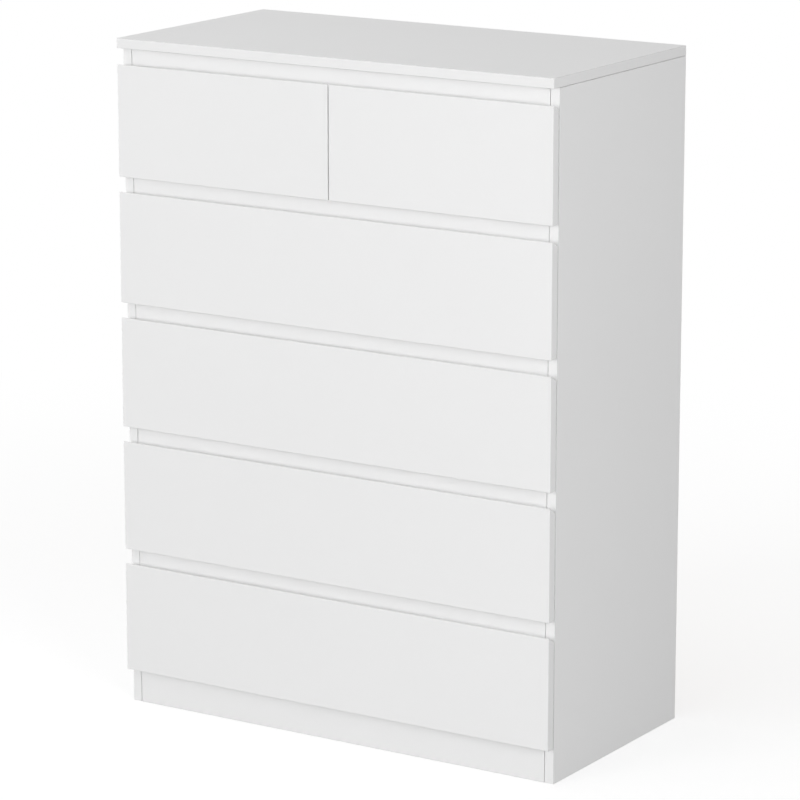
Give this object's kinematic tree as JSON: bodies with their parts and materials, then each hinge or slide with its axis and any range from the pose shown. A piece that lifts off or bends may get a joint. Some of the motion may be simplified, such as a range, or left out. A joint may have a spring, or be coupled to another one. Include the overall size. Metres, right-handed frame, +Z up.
{
  "type": "tall chest of drawers",
  "caption": "Tall handleless chest of drawers in white board, with small drawers over full-width ones, finger gaps between the fronts, steel runners and a plinth.",
  "frame": {"origin": "centre of the chest's footprint, on the floor", "axes": "+Z up; +Y to the back, so the drawer fronts face -Y and open towards it; +X to the right as seen from the front"},
  "size_m": [0.8, 0.41, 1.1],
  "materials": {
    "white_melamine": "satin white melamine",
    "white_foil": "white foil, satin",
    "white_hardboard": "white lacquer on hardboard",
    "hardboard": "raw pressed hardboard",
    "white_steel": "white powder coat",
    "zinc_steel": "zinc plated",
    "nylon": "natural nylon",
    "beech": "plain beech"
  },
  "bodies": {
    "carcass": {"top_panel": "white_melamine", "side_panel_left": "white_melamine", "side_panel_right": "white_melamine", "bottom_panel": "white_melamine", "centre_partition": "white_melamine", "top_rail": "white_melamine", "cross_rail_1": "white_melamine", "cross_rail_2": "white_melamine", "cross_rail_3": "white_melamine", "cross_rail_4": "white_melamine", "rear_rail": "white_melamine", "plinth": "white_melamine", "back_panel": "hardboard", "cabinet_runners": "white_steel", "cabinet_glides": "nylon", "cabinet_fittings": "zinc_steel", "dowels": "beech", "wall_brackets": "zinc_steel"},
    "drawer_1_left": {"drawer_1_left_front": "white_melamine", "drawer_1_left_side_left": "white_foil", "drawer_1_left_side_right": "white_foil", "drawer_1_left_back": "white_foil", "drawer_1_left_bottom": "white_hardboard", "drawer_1_left_runners": "white_steel", "drawer_1_left_fittings": "zinc_steel"},
    "drawer_1_right": {"drawer_1_right_front": "white_melamine", "drawer_1_right_side_left": "white_foil", "drawer_1_right_side_right": "white_foil", "drawer_1_right_back": "white_foil", "drawer_1_right_bottom": "white_hardboard", "drawer_1_right_runners": "white_steel", "drawer_1_right_fittings": "zinc_steel"},
    "drawer_2": {"drawer_2_front": "white_melamine", "drawer_2_side_left": "white_foil", "drawer_2_side_right": "white_foil", "drawer_2_back": "white_foil", "drawer_2_bottom": "white_hardboard", "drawer_2_runners": "white_steel", "drawer_2_fittings": "zinc_steel"},
    "drawer_3": {"drawer_3_front": "white_melamine", "drawer_3_side_left": "white_foil", "drawer_3_side_right": "white_foil", "drawer_3_back": "white_foil", "drawer_3_bottom": "white_hardboard", "drawer_3_runners": "white_steel", "drawer_3_fittings": "zinc_steel"},
    "drawer_4": {"drawer_4_front": "white_melamine", "drawer_4_side_left": "white_foil", "drawer_4_side_right": "white_foil", "drawer_4_back": "white_foil", "drawer_4_bottom": "white_hardboard", "drawer_4_runners": "white_steel", "drawer_4_fittings": "zinc_steel"},
    "drawer_5": {"drawer_5_front": "white_melamine", "drawer_5_side_left": "white_foil", "drawer_5_side_right": "white_foil", "drawer_5_back": "white_foil", "drawer_5_bottom": "white_hardboard", "drawer_5_runners": "white_steel", "drawer_5_fittings": "zinc_steel"}
  },
  "joints": [
    {"name": "drawer_1_left_slide", "type": "slide", "parent": "carcass", "child": "drawer_1_left", "axis": [0, -1, 0], "range_m": [0, 0.26]},
    {"name": "drawer_1_right_slide", "type": "slide", "parent": "carcass", "child": "drawer_1_right", "axis": [0, -1, 0], "range_m": [0, 0.26]},
    {"name": "drawer_2_slide", "type": "slide", "parent": "carcass", "child": "drawer_2", "axis": [0, -1, 0], "range_m": [0, 0.26]},
    {"name": "drawer_3_slide", "type": "slide", "parent": "carcass", "child": "drawer_3", "axis": [0, -1, 0], "range_m": [0, 0.26]},
    {"name": "drawer_4_slide", "type": "slide", "parent": "carcass", "child": "drawer_4", "axis": [0, -1, 0], "range_m": [0, 0.26]},
    {"name": "drawer_5_slide", "type": "slide", "parent": "carcass", "child": "drawer_5", "axis": [0, -1, 0], "range_m": [0, 0.26]}
  ]
}
